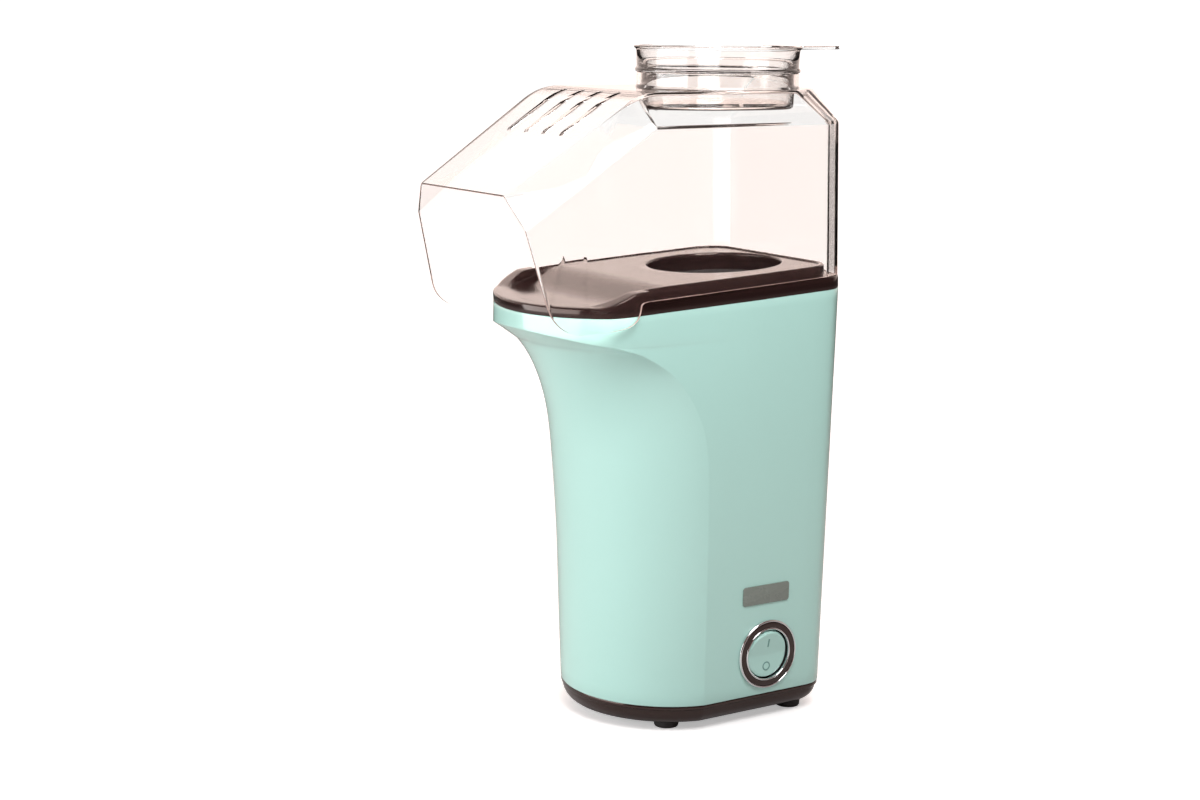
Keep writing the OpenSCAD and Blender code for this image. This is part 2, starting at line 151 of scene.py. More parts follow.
def plan(w, w_side, y_side, y_nose, rear, round_nose=0):
    """A closed plan outline, anticlockwise from the left end of the nose."""
    right = flank(w, w_side, y_side, rear)
    left = [(-x, y) for x, y in reversed(right)]
    outline = np.array(nose_arc(w_side, y_side, y_nose) + right + [(0, rear)] + left, float)
    for _ in range(round_nose):
        calmer = (np.roll(outline, 1, 0) + 2 * outline + np.roll(outline, -1, 0)) / 4
        outline = np.where(outline[:, 1:] < -72, calmer, outline)
    return outline


def column_ring(z, y_side, y_nose, inset=0.0, level=None):
    w = half_at(z)
    side = w - 2.5 * max(0, -y_side - 39.4) / 56.6
    outline = plan(w - inset, side - inset, y_side, y_nose + inset, rear_at(z) - inset)
    return np.column_stack([outline, np.full(len(outline), z if level is None else level)])


def collar_plan(inset, z=COLLAR_Z):
    return plan(half_at(z) - inset, NOSE_CORNER[0] - inset, NOSE_CORNER[1] + inset / 2,
                NOSE_Y + inset, rear_at(z) - inset, round_nose=26)


def edge_ring(inset, lift=0.0):
    """Lower edge of the band under the collar, which rises towards the middle of the nose."""
    outline = collar_plan(inset, LIP_EDGE)
    rise = LIP_RISE * (1 - (outline[:, 0] / NOSE_CORNER[0]) ** 2)
    rise = np.where(outline[:, 1] < NOSE_CORNER[1] + 4, np.maximum(rise, 0), 0)
    return np.column_stack([outline, LIP_EDGE + rise + lift])


def from_collar(outline, height):
    """Points of a plan outline at a height in the sloping collar's own frame."""
    y, h = outline[:, 1], np.broadcast_to(height, len(outline))
    c, s = math.cos(COLLAR_TILT), math.sin(COLLAR_TILT)
    return np.column_stack([outline[:, 0], y * c - h * s, COLLAR_Z + y * s + h * c])


# ---------------------------------------------------------------- mesh helpers

def place(points):
    p = np.array(points, float) * MM
    p[:, 1] += AXIS_Y
    return p


def make_object(name, points, faces, matrix=None):
    """Object from millimetre points; matrix takes them from a local frame to the axis frame."""
    p = np.array(points, float)
    if matrix is not None:
        p = np.array([matrix @ Vector(v) for v in p])
    mesh = bpy.data.meshes.new(name)
    mesh.from_pydata([tuple(v) for v in place(p)], [], faces)
    mesh.validate()
    obj = bpy.data.objects.new(name, mesh)
    bpy.context.scene.collection.objects.link(obj)
    tidy_mesh(obj)
    return obj


def tidy_mesh(obj, merge=0.00001):
    bm = bmesh.new()
    bm.from_mesh(obj.data)
    bmesh.ops.remove_doubles(bm, verts=bm.verts, dist=merge)
    bmesh.ops.recalc_face_normals(bm, faces=bm.faces)
    bm.to_mesh(obj.data)
    bm.free()


def grid_faces(rows, columns, close_rows):
    """Quads between closed rings of points; close_rows joins the last ring to the first."""
    faces = []
    for r in range(rows if close_rows else rows - 1):
        below, above = r * columns, (r + 1) % rows * columns
        for c in range(columns):
            d = (c + 1) % columns
            faces.append((below + c, below + d, above + d, above + c))
    return faces


def loft(name, rings, close_rows=True, caps=False):
    """Skin through closed rings that have the same number of points."""
    columns = len(rings[0])
    faces = grid_faces(len(rings), columns, close_rows)
    if caps:
        faces.append(tuple(range(columns)))
        faces.append(tuple(reversed(range((len(rings) - 1) * columns, len(rings) * columns))))
    return make_object(name, np.concatenate(rings), faces)


def lathe(name, profile, matrix=None, segments=96, closed=True):
    """Solid of revolution about local Z from (radius, height) points."""
    turns = np.linspace(0, 2 * math.pi, segments, endpoint=False)
    rings = [[(r * math.cos(t), r * math.sin(t), z) for t in turns] for r, z in profile]
    faces = grid_faces(len(profile), segments, closed)
    return make_object(name, np.concatenate(rings), faces, matrix)


def rounded(profile, radius, steps=3):
    """Closed (radius, height) profile with its corners rounded."""
    p = [Vector(v) for v in profile]
    out = []
    for i, corner in enumerate(p):
        before, after = p[i - 1] - corner, p[(i + 1) % len(p)] - corner
        r = min(radius, before.length * 0.45, after.length * 0.45)
        if corner.x < 1e-6:
            out.append(tuple(corner))
            continue
        a, b = corner + before.normalized() * r, corner + after.normalized() * r
        for k in range(steps + 1):
            t = k / steps
            out.append(tuple(a * (1 - t) ** 2 + corner * 2 * t * (1 - t) + b * t**2))
    return out


def prism(name, outline, low, high, along="z", matrix=None):
    """Outline extruded between two levels; along x the outline is (y, z), along z it is (x, y)."""
    n = len(outline)
    points = [(a, b, h) if along == "z" else (h, a, b) for h in (low, high) for a, b in outline]
    faces = [(i, (i + 1) % n, n + (i + 1) % n, n + i) for i in range(n)]
    faces += [tuple(reversed(range(n))), tuple(range(n, 2 * n))]
    return make_object(name, points, faces, matrix)


def bake_modifiers(obj):
    bpy.context.view_layer.update()
    graph = bpy.context.evaluated_depsgraph_get()
    mesh = bpy.data.meshes.new_from_object(obj.evaluated_get(graph))
    obj.modifiers.clear()
    obj.data = mesh


def combine(obj, tool, operation="DIFFERENCE"):
    change = obj.modifiers.new("combine", "BOOLEAN")
    change.operation, change.object, change.solver = operation, tool, "EXACT"
    bake_modifiers(obj)
    bpy.data.objects.remove(tool)
    return obj


def bevel(obj, width, segments=3, angle=30.0, weighted=False):
    change = obj.modifiers.new("bevel", "BEVEL")
    change.width, change.segments = width * MM, segments
    change.limit_method = "WEIGHT" if weighted else "ANGLE"
    change.angle_limit = math.radians(angle)
    change.use_clamp_overlap = True
    bake_modifiers(obj)


def smooth_shade(obj, angle=30.0):
    """Smooth shading that breaks only at edges sharper than angle."""
    bm = bmesh.new()
    bm.from_mesh(obj.data)
    for face in bm.faces:
        face.smooth = True
    for edge in bm.edges:
        edge.smooth = len(edge.link_faces) == 2 and edge.calc_face_angle(0) < math.radians(angle)
    bm.to_mesh(obj.data)
    bm.free()


def finish_piece(obj, body, material, stands_for=(), angle=30.0, flat_faces=False):
    smooth_shade(obj, angle)
    if flat_faces:
        change = obj.modifiers.new("flat faces", "WEIGHTED_NORMAL")
        change.keep_sharp, change.weight = True, 100
        bake_modifiers(obj)
    obj.data.materials.clear()
    obj.data.materials.append(material)
    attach(obj, body)
    if stands_for:
        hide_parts(*stands_for)
    return obj


def side_frame(y, z):
    """Frame on the body's right side: +Z out, +X down."""
    return Matrix.Translation((half_at(z), y, z)) @ Matrix.Rotation(math.pi / 2 + LEAN, 4, "Y")


# ---------------------------------------------------------------- shader helpers

def add_node(tree, kind, **values):
    """Shader node; names of its settings or of its input sockets are given as values."""
    node = tree.nodes.new(kind)
    for key, value in values.items():
        if hasattr(node, key):
            setattr(node, key, value)
        else:
            node.inputs[key.replace("_", " ")].default_value = value
    return node


def new_group(name, inputs, outputs):
    tree = bpy.data.node_groups.new(name, "ShaderNodeTree")
    for label, kind, value in inputs:
        socket = tree.interface.new_socket(label, in_out="INPUT", socket_type=kind)
        socket.default_value = value
    for label, kind in outputs:
        tree.interface.new_socket(label, in_out="OUTPUT", socket_type=kind)
    return tree, tree.nodes.new("NodeGroupInput"), tree.nodes.new("NodeGroupOutput")


def build_moulding_group():
    """Slight cloudiness of a moulded colour, its uneven gloss and a fine orange-peel height."""
    tree, given, result = new_group(
        "moulded_surface",
        [("Color", "NodeSocketColor", (1, 1, 1, 1)), ("Cloud Color", "NodeSocketColor", (1, 1, 1, 1)),
         ("Gloss Low", "NodeSocketFloat", 0.2), ("Gloss High", "NodeSocketFloat", 0.3),
         ("Peel Scale", "NodeSocketFloat", 900.0)],
        [("Color", "NodeSocketColor"), ("Roughness", "NodeSocketFloat"), ("Height", "NodeSocketFloat")])
    place_in = add_node(tree, "ShaderNodeTexCoord")
    cloud = add_node(tree, "ShaderNodeTexNoise", Scale=28.0, Detail=3.0)
    peel = add_node(tree, "ShaderNodeTexNoise", Detail=2.0)
    smear = add_node(tree, "ShaderNodeTexNoise", Scale=90.0, Detail=5.0, Roughness=0.65)
    tint = add_node(tree, "ShaderNodeMix", data_type="RGBA")
    gloss = add_node(tree, "ShaderNodeMapRange", From_Min=0.3, From_Max=0.7)
    join = tree.links.new
    for texture in (cloud, peel, smear):
        join(place_in.outputs["Object"], texture.inputs["Vector"])
    join(given.outputs["Peel Scale"], peel.inputs["Scale"])
    join(cloud.outputs["Fac"], tint.inputs["Factor"])
    join(given.outputs["Color"], tint.inputs[6])
    join(given.outputs["Cloud Color"], tint.inputs[7])
    join(smear.outputs["Fac"], gloss.inputs["Value"])
    join(given.outputs["Gloss Low"], gloss.inputs["To Min"])
    join(given.outputs["Gloss High"], gloss.inputs["To Max"])
    join(tint.outputs[2], result.inputs["Color"])
    join(gloss.outputs["Result"], result.inputs["Roughness"])
    join(peel.outputs["Fac"], result.inputs["Height"])
    return tree


def build_metal_group():
    """Fine turned or drawn lines on bare metal, with faint tarnish."""
    tree, given, result = new_group(
        "drawn_metal",
        [("Color", "NodeSocketColor", (1, 1, 1, 1)), ("Tarnish", "NodeSocketColor", (0.5, 0.5, 0.5, 1)),
         ("Stretch", "NodeSocketVector", (1, 1, 20)), ("Gloss Low", "NodeSocketFloat", 0.2),
         ("Gloss High", "NodeSocketFloat", 0.4)],
        [("Color", "NodeSocketColor"), ("Roughness", "NodeSocketFloat"), ("Height", "NodeSocketFloat")])
    place_in = add_node(tree, "ShaderNodeTexCoord")
    stretch = add_node(tree, "ShaderNodeVectorMath", operation="MULTIPLY")
    lines = add_node(tree, "ShaderNodeTexNoise", Scale=160.0, Detail=6.0, Roughness=0.7)
    stain = add_node(tree, "ShaderNodeTexNoise", Scale=45.0, Detail=4.0)
    faint = add_node(tree, "ShaderNodeMapRange", From_Min=0.45, From_Max=0.8, To_Max=0.6)
    tint = add_node(tree, "ShaderNodeMix", data_type="RGBA")
    gloss = add_node(tree, "ShaderNodeMapRange", From_Min=0.3, From_Max=0.7)
    join = tree.links.new
    join(place_in.outputs["Object"], stretch.inputs[0])
    join(given.outputs["Stretch"], stretch.inputs[1])
    join(stretch.outputs[0], lines.inputs["Vector"])
    join(place_in.outputs["Object"], stain.inputs["Vector"])
    join(stain.outputs["Fac"], faint.inputs["Value"])
    join(faint.outputs["Result"], tint.inputs["Factor"])
    join(given.outputs["Color"], tint.inputs[6])
    join(given.outputs["Tarnish"], tint.inputs[7])
    join(lines.outputs["Fac"], gloss.inputs["Value"])
    join(given.outputs["Gloss Low"], gloss.inputs["To Min"])
    join(given.outputs["Gloss High"], gloss.inputs["To Max"])
    join(tint.outputs[2], result.inputs["Color"])
    join(gloss.outputs["Result"], result.inputs["Roughness"])
    join(lines.outputs["Fac"], result.inputs["Height"])
    return tree


MOULDED = build_moulding_group()
DRAWN = build_metal_group()


def start_material(name, group, values):
    """Material with a Principled shader, fed by one placed group; returns what the caller may still set."""
    material = bpy.data.materials.new(name)
    material.use_nodes = True
    tree = material.node_tree
    shader = tree.nodes["Principled BSDF"]
    surface = tree.nodes.new("ShaderNodeGroup")
    surface.node_tree = group
    for label, value in values.items():
        surface.inputs[label].default_value = value
    tree.links.new(surface.outputs["Color"], shader.inputs["Base Color"])
    tree.links.new(surface.outputs["Roughness"], shader.inputs["Roughness"])
    return material, tree, shader, surface


def add_bump(tree, shader, surface, strength, distance):
    bump = add_node(tree, "ShaderNodeBump", Strength=strength, Distance=distance)
    tree.links.new(surface.outputs["Height"], bump.inputs["Height"])
    tree.links.new(bump.outputs["Normal"], shader.inputs["Normal"])


def plastic(name, color, cloud, gloss, coat=0.0, peel=900.0, bump=0.06, sheen_tint=(1, 1, 1)):
    material, tree, shader, surface = start_material(name, MOULDED, {
        "Color": (*color, 1), "Cloud Color": (*cloud, 1), "Gloss Low": gloss[0], "Gloss High": gloss[1],
        "Peel Scale": peel})
    shader.inputs["IOR"].default_value = 1.48
    shader.inputs["Specular Tint"].default_value = (*sheen_tint, 1)
    shader.inputs["Coat Weight"].default_value = coat
    shader.inputs["Coat Roughness"].default_value = 0.08
    add_bump(tree, shader, surface, bump, 0.0002)
    material.diffuse_color = (*color, 1)
    return material


def metal(name, color, tarnish, gloss, stretch=(1, 1, 20), bump=0.1):
    material, tree, shader, surface = start_material(name, DRAWN, {
        "Color": (*color, 1), "Tarnish": (*tarnish, 1), "Gloss Low": gloss[0], "Gloss High": gloss[1],
        "Stretch": stretch})
    shader.inputs["Metallic"].default_value = 1.0
    add_bump(tree, shader, surface, bump, 0.0001)
    material.diffuse_color = (*color, 1)
    return material


def clear_moulding(name, tint, cloud, painted_edge_shade):
    """Clear plastic that lets lamp light through to what is behind it; its rims and edges get painted shade,
    a brownish darkening where the surface is seen edge-on.
    """
    material, tree, shader, surface = start_material(name, MOULDED, {
        "Color": (*tint, 1), "Cloud Color": (*cloud, 1), "Gloss Low": 0.0, "Gloss High": 0.03,
        "Peel Scale": 300.0})
    # Painted shade: towards the edge-on parts the colour is mixed with a dark brown, standing in for the
    # dark lines that refraction shows along the rims.
    slant = add_node(tree, "ShaderNodeLayerWeight", Blend=0.5)
    edge = add_node(tree, "ShaderNodeMapRange", interpolation_type="SMOOTHSTEP", From_Min=0.70, From_Max=1.0)
    deepen = add_node(tree, "ShaderNodeMix", data_type="RGBA")
    deepen.inputs[7].default_value = (*painted_edge_shade, 1)
    tree.links.new(slant.outputs["Facing"], edge.inputs["Value"])
    tree.links.new(edge.outputs["Result"], deepen.inputs["Factor"])
    tree.links.new(surface.outputs["Color"], deepen.inputs[6])
    tree.links.new(deepen.outputs[2], shader.inputs["Base Color"])
    shader.inputs["Transmission Weight"].default_value = 1.0
    shader.inputs["IOR"].default_value = 1.49
    add_bump(tree, shader, surface, 0.02, 0.0002)
    rays = tree.nodes.new("ShaderNodeLightPath")
    passing = add_node(tree, "ShaderNodeBsdfTransparent", Color=(0.95, 0.93, 0.92, 1))
    blend = tree.nodes.new("ShaderNodeMixShader")
    output = tree.nodes["Material Output"]
    tree.links.new(rays.outputs["Is Shadow Ray"], blend.inputs["Fac"])
    tree.links.new(shader.outputs["BSDF"], blend.inputs[1])
    tree.links.new(passing.outputs["BSDF"], blend.inputs[2])
    tree.links.new(blend.outputs["Shader"], output.inputs["Surface"])
    material.diffuse_color = (*tint, 0.3)
    return material


MATERIALS = {
    "mint_plastic": plastic("mint_plastic", (0.455, 0.745, 0.683), (0.458, 0.746, 0.685), (0.27, 0.272),
                            coat=0.8, bump=0.02),
    "cocoa_plastic": plastic("cocoa_plastic", (0.014, 0.006, 0.006), (0.017, 0.008, 0.0075), (0.11, 0.15),
                             coat=0.35, bump=0.03, sheen_tint=(1.0, 0.74, 0.65)),
    "foot_rubber": plastic("foot_rubber", (0.02, 0.018, 0.018), (0.028, 0.026, 0.025), (0.55, 0.75),
                           peel=2500.0, bump=0.25),
    # The clear plastic's last colour is the painted shade along its rims and edge-on parts.
    "clear_plastic": clear_moulding("clear_plastic", (0.985, 0.98, 0.972), (0.99, 0.986, 0.98),
                                    (0.52, 0.36, 0.32)),
    # Painted shade: an opaque brownish plastic laid on the cover's trimmed rim, where the clear rim only
    # looks dark.
    "clear_rim_painted_shade": plastic("clear_rim_painted_shade", (0.40, 0.28, 0.25), (0.45, 0.32, 0.29), (0.15, 0.22), bump=0.03),
    "bright_chrome": metal("bright_chrome", (0.80, 0.81, 0.82), (0.74, 0.75, 0.77), (0.05, 0.11), bump=0.01),
    "badge_grey": plastic("badge_grey", (0.205, 0.235, 0.21), (0.22, 0.25, 0.225), (0.22, 0.32), bump=0.05),
    "mark_grey": plastic("mark_grey", (0.16, 0.34, 0.31), (0.18, 0.36, 0.33), (0.3, 0.4), bump=0.05),
    "screw_steel": metal("screw_steel", (0.50, 0.51, 0.53), (0.36, 0.36, 0.38), (0.25, 0.4)),
    "part_steel": metal("part_steel", (0.42, 0.43, 0.45), (0.28, 0.28, 0.29), (0.25, 0.45)),
    "chamber_alloy": metal("chamber_alloy", (0.66, 0.66, 0.67), (0.45, 0.42, 0.38), (0.22, 0.38)),
    "heater_wire": metal("heater_wire", (0.30, 0.26, 0.24), (0.12, 0.10, 0.10), (0.4, 0.6)),
    "magnet_ferrite": metal("magnet_ferrite", (0.10, 0.10, 0.11), (0.06, 0.06, 0.06), (0.5, 0.7)),
    "bush_bronze": metal("bush_bronze", (0.55, 0.36, 0.16), (0.3, 0.2, 0.1), (0.3, 0.5)),
    "armature_copper": metal("armature_copper", (0.60, 0.26, 0.12), (0.35, 0.15, 0.08), (0.3, 0.5)),
    "terminal_brass": metal("terminal_brass", (0.70, 0.52, 0.22), (0.45, 0.33, 0.15), (0.25, 0.4)),
    "seal_silicone": plastic("seal_silicone", (0.03, 0.025, 0.025), (0.04, 0.033, 0.033), (0.5, 0.65),
                             bump=0.15),
    "duct_resin": plastic("duct_resin", (0.55, 0.47, 0.34), (0.48, 0.40, 0.29), (0.5, 0.7), bump=0.3),
    "heater_board": plastic("heater_board", (0.45, 0.36, 0.22), (0.60, 0.50, 0.34), (0.35, 0.6), bump=0.4),
    "fan_plastic": plastic("fan_plastic", (0.70, 0.68, 0.63), (0.74, 0.72, 0.68), (0.35, 0.5)),
    "board_green": plastic("board_green", (0.02, 0.12, 0.04), (0.03, 0.16, 0.06), (0.3, 0.45)),
    "black_plastic": plastic("black_plastic", (0.02, 0.02, 0.022), (0.028, 0.028, 0.03), (0.35, 0.5)),
}


# ---------------------------------------------------------------- moulded body, collar and base

def mark_edges(obj, rings, chosen):
    """Bevel weight on the mesh edges that run between the given (ring, column) pairs."""
    key = {tuple(np.round(p, 6)): i for i, p in enumerate(np.array([v.co for v in obj.data.vertices]))}
    wanted = set()
    for a, b in chosen:
        pair = [key.get(tuple(np.round(p, 6))) for p in place([rings[a[0]][a[1]], rings[b[0]][b[1]]])]
        if None not in pair:
            wanted.add(frozenset(pair))
    weights = obj.data.attributes.new("bevel_weight_edge", "FLOAT", "EDGE")
    for edge in obj.data.edges:
        if frozenset(edge.vertices) in wanted:
            weights.data[edge.index].value = 1.0


def body_skin(inset):
    """Rings of the body's wall, from its foot to the collar."""
    keys = [column_ring(z, side, nose, inset) for z, side, nose in FRONT_RINGS] + [edge_ring(inset)]
    flare = list(smooth_path(keys, 6))
    rim = from_collar(collar_plan(inset), 0.0)
    band = [flare[-1] + (rim - flare[-1]) * t for t in (0.25, 0.5, 0.75, 1.0)]
    return flare, band


def make_body():
    flare, band = body_skin(0.0)
    inner_flare, inner_band = body_skin(WALL)
    foot_in = column_ring(*FRONT_RINGS[0], inset=0.5)
    foot_low = column_ring(*FRONT_RINGS[0], inset=0.14)
    foot_low[:, 2] += 0.15
    flare[0][:, 2] += 0.5
    top_in = from_collar(collar_plan(0.5), 0.0)
    band[-1] = from_collar(collar_plan(0.0), -0.5)
    top_low = from_collar(collar_plan(0.14), -0.14)
    rings = [foot_in, foot_low] + flare + band + [top_low, top_in]
    rings += list(reversed(inner_flare + inner_band))
    body = loft("mint_body", rings)
    lip = 2 + len(flare) - 1
    corners = (0, ARC_STEPS)
    chosen = [((r, c), (r + 1, c)) for r in range(3, lip) for c in corners]
    chosen += [((lip, c), (lip, c + 1)) for c in range(ARC_STEPS)]
    mark_edges(body, rings, chosen)
    bevel(body, 1.1, 3, weighted=True)
    hole = lathe("hole", [(0, -8), (SWITCH_HOLE_R, -8), (SWITCH_HOLE_R, 8), (0, 8)],
                 side_frame(SWITCH_Y, SWITCH_Z), closed=False)
    combine(body, hole)
    back = Matrix.Translation((0, 0, GLAND_Z)) @ Matrix.Rotation(-math.pi / 2, 4, "X")
    inlet = lathe("inlet", [(0, 30), (GLAND_R, 30), (GLAND_R, 50), (0, 50)], back, closed=False)
    combine(body, inlet)
    return finish_piece(body, "base", MATERIALS["mint_plastic"], ["body_shell"], 40)


def make_collar():
    """One closed skin: outer wall, cover ledge, raised wall, ramped deck, chamber hole, underside."""
    def wall_top(y):
        return np.interp(y, (-100.5, -99, -86, -84, -64, 30), (5.0, 5.4, 10.8, 11.2, 11.8, 12.0))

    def edge_top(y):
        return np.where(y < LEDGE_START, wall_top(y), LEDGE_HEIGHT)

    def deck(y):
        t = np.clip((y + 93) / 31, 0, 1)
        return 4.95 + 6.35 * t * t * (3 - 2 * t)

    def at(outline, height):
        return from_collar(outline, height(outline[:, 1]) if callable(height) else height)

    def ring(inset, height):
        return at(collar_plan(inset), height)

    def towards_hole(t, height, radius=CHAMBER_R + 2.6):
        outer = collar_plan(8.6)
        turn = np.arctan2(outer[:, 1], outer[:, 0])
        hole = radius * np.column_stack([np.cos(turn), np.sin(turn)])
        return at(outer + (hole - outer) * t, height)

    def hole_ring(radius, height):
        return towards_hole(1.0, height, radius)

    def under_deck(y):
        return deck(y) - 2.4

    rings = [ring(0.4, 0.0), ring(0.1, 0.12), ring(0.0, 0.4), ring(0.0, 2.4),
             ring(0.0, lambda y: edge_top(y) - 1.3), ring(0.12, lambda y: edge_top(y) - 0.75),
             ring(0.4, lambda y: edge_top(y) - 0.3), ring(0.9, lambda y: edge_top(y) - 0.06),
             ring(1.4, edge_top), ring(4.9, edge_top),
             ring(5.3, lambda y: np.maximum(edge_top(y), LEDGE_HEIGHT * (y > LEDGE_START) + 0.15)),
             ring(5.5, lambda y: np.maximum(edge_top(y), wall_top(y) - 0.6)),
             ring(5.8, lambda y: np.maximum(edge_top(y), wall_top(y) - 0.15)), ring(6.2, wall_top),
             ring(6.9, wall_top), ring(7.3, lambda y: np.maximum(deck(y), wall_top(y) - 0.2)),
             ring(7.5, lambda y: np.maximum(deck(y), wall_top(y) - 0.7)),
             ring(7.8, lambda y: np.minimum(deck(y) + 0.5, np.maximum(deck(y), wall_top(y) - 0.7))),
             ring(8.6, deck)]
    rings += [towards_hole(t, deck) for t in np.linspace(0.06, 1, 16)]
    rings += [hole_ring(CHAMBER_R + 1.95, lambda y: deck(y) - 0.2),
              hole_ring(CHAMBER_R + 1.6, lambda y: deck(y) - 0.7),
              hole_ring(CHAMBER_R + 1.5, lambda y: deck(y) - 1.4), hole_ring(CHAMBER_R + 1.5, 2.5),
              hole_ring(CHAMBER_R + 2.3, 2.5), hole_ring(CHAMBER_R + 2.3, under_deck)]
    rings += [towards_hole(t, under_deck) for t in (0.9, 0.7, 0.5, 0.3, 0.1)]
    rings += [ring(8.6, under_deck), ring(8.2, 2.5), ring(2.6, 2.5), ring(2.5, 0.1), ring(2.3, 0.0)]
    collar = loft("dark_collar", rings)
    return finish_piece(collar, "base", MATERIALS["cocoa_plastic"], ["deck_collar"], 35)


def make_pan():
    foot = FRONT_RINGS[0]
    outer = [(0.3, 14.0), (0.2, 13.8), (0.2, 12.3), (0.5, 12.0), (1.0, 11.8), (1.1, 11.4), (1.0, 10.6),
             (1.1, 9.6), (1.5, 8.3), (2.2, 6.9), (3.2, 5.7), (4.2, 4.9), (5.2, 4.55), (6.0, 4.5)]
    inner = [(8.6, 7.0), (7.6, 7.2), (6.5, 8.0), (2.7, 12.8), (2.6, 14.0)]

    def towards_middle(edge, level):
        return [np.column_stack([edge[:, :2] * s + [0, -18 * (1 - s)], np.full(len(edge), level)])
                for s in (0.8, 0.5, 0.2)]

    skin = [column_ring(*foot, inset=i, level=z) for i, z in outer]
    floor = towards_middle(skin[-1], 4.5)
    hollow = [column_ring(*foot, inset=i, level=z) for i, z in reversed(inner)]
    roof = towards_middle(hollow[-1], 7.0)
    rings = list(reversed(roof)) + list(reversed(hollow)) + skin + floor
    pan = loft("base_tray", rings, close_rows=False, caps=True)
    for x in range(-24, 25, 6):
        slot = prism("slot", rounded_bar(3.0, 40.0), 0, 10, matrix=Matrix.Translation((x, -2, 0)))
        combine(pan, slot)
    for x, y in SCREWS_AT:
        for s in (-1, 1):
            well = lathe("well", [(0, 0), (3.1, 0), (3.1, 7), (1.8, 7), (1.8, 20), (0, 20)],
                         Matrix.Translation((s * x, y, 0)), 48, closed=False)
            combine(pan, well)
    return finish_piece(pan, "base", MATERIALS["cocoa_plastic"], ["base_pan"], 35)


def rounded_bar(width, length, steps=8):
    """Outline of a bar with round ends, long side along Y."""
    r, reach = width / 2, length / 2 - width / 2
    turns = np.linspace(0, math.pi, steps + 1)
    top = [(r * math.cos(t), reach + r * math.sin(t)) for t in turns]
    return top + [(-x, -y) for x, y in top]


def make_feet():
    profile = [(0, 0), (5.0, 0), (5.9, 0.25), (6.2, 0.9), (6.35, 2.0), (6.3, 3.0), (6.7, 3.4), (6.8, 4.0),
               (6.7, 4.5), (0, 4.5)]
    for (x, y), place_name in FEET_AT:
        for s, hand in ((1, "right"), (-1, "left")):
            foot = lathe(f"foot_{place_name}_{hand}", profile, Matrix.Translation((s * x, y, 0)), 64,
                         closed=False)
            stands_for = ["feet"] if (place_name, hand) == ("front", "right") else ()
            finish_piece(foot, "base", MATERIALS["foot_rubber"], stands_for)


# ---------------------------------------------------------------- clear cover and cup

def cover_corners(i):
    """Corners of the cover, right half, moved in by i from the outer face."""
    bend = [(46 - i - max(0, 0.61 * BEND_R * math.sin(a) - 7.1) * 0.14, -66.4 - BEND_R * math.sin(a),
             COVER_Z - i - BEND_R * (1 - math.cos(a))) for a in np.linspace(0, math.radians(33.1), 10)]
    return bend + [
        (46 - i, 15, COVER_Z - i), (42 - i, 26 - i, COVER_Z - i),
        (30 - i, 37.5 - i, COVER_Z - i), (18, 42 - i, COVER_Z - i),
        (57 - i, -76, 303.5 - i / 2), (57 - i, 27, 304 - i / 2), (53.5 - i, 36 - i, 304 - i / 2),
        (44.5 - i / 2, 42 - i, 304 - i / 2),
        (40 - i / 2, FRONT_Y - i, 272.7 - i), (52.2 - i, -144.3 - i, 257.6 - i / 2),
        (56.4 - i, -134 - i, 219.4 - 2 * i), (57.2 - i, -129 - i, 206 - 3 * i), (56.5 - i, -117, 277),
        (58.5 - i, -114, 208 - 3 * i),
        (58.5 - i, -80, 208 - 3 * i), (57.3 - i, 29.5, 208 - 3 * i), (53.8 - i, 38.5 - i, 208 - 3 * i),
        (44.8 - i / 2, 44.2 - i, 208 - 3 * i)]


def hull_solid(name, corners, width):
    """Convex solid through mirrored corners with its edges rounded."""
    bm = bmesh.new()
    for x, y, z in place([(s * x, y, z) for x, y, z in corners for s in (-1, 1)]):
        bm.verts.new((x, y, z))
    made = bmesh.ops.convex_hull(bm, input=bm.verts)
    inside = [g for g in made["geom_interior"] if isinstance(g, bmesh.types.BMVert)]
    bmesh.ops.delete(bm, geom=inside, context="VERTS")
    bmesh.ops.dissolve_limit(bm, angle_limit=math.radians(2.5), verts=bm.verts, edges=bm.edges)
    mesh = bpy.data.meshes.new(name)
    bm.to_mesh(mesh)
    bm.free()
    obj = bpy.data.objects.new(name, mesh)
    bpy.context.scene.collection.objects.link(obj)
    bevel(obj, width, 4, angle=5)
    return obj


def cover_side():
    """Side outline of the cover as (y, z): ledge line, flap, mouth, and clear of the top and the back."""
    c, s = math.cos(COLLAR_TILT), math.sin(COLLAR_TILT)
    ledge = [(y * c - 6.9 * s, COLLAR_Z + y * s + 6.9 * c) for y in (60, -80)]
    flap = smooth_path([(-82.5, 221.0), (-83.9, 219.8), (-84.6, 216.5), (-86.4, 212.9), (-90, 210.4),
                        (-95, 209.2), (-105, 208.2), (-115, 208.0), (-122, 208.9), (-128, 212.0),
                        (-132.3, 216.6), (-134.8, 222.0)], 5)
    mouth = [(-144.6, 257.6), (FRONT_Y + 0.15, 273.2), (FRONT_Y - 3, 290), (FRONT_Y, 345), (60, 345)]
    return ledge + [tuple(p) for p in flap] + mouth


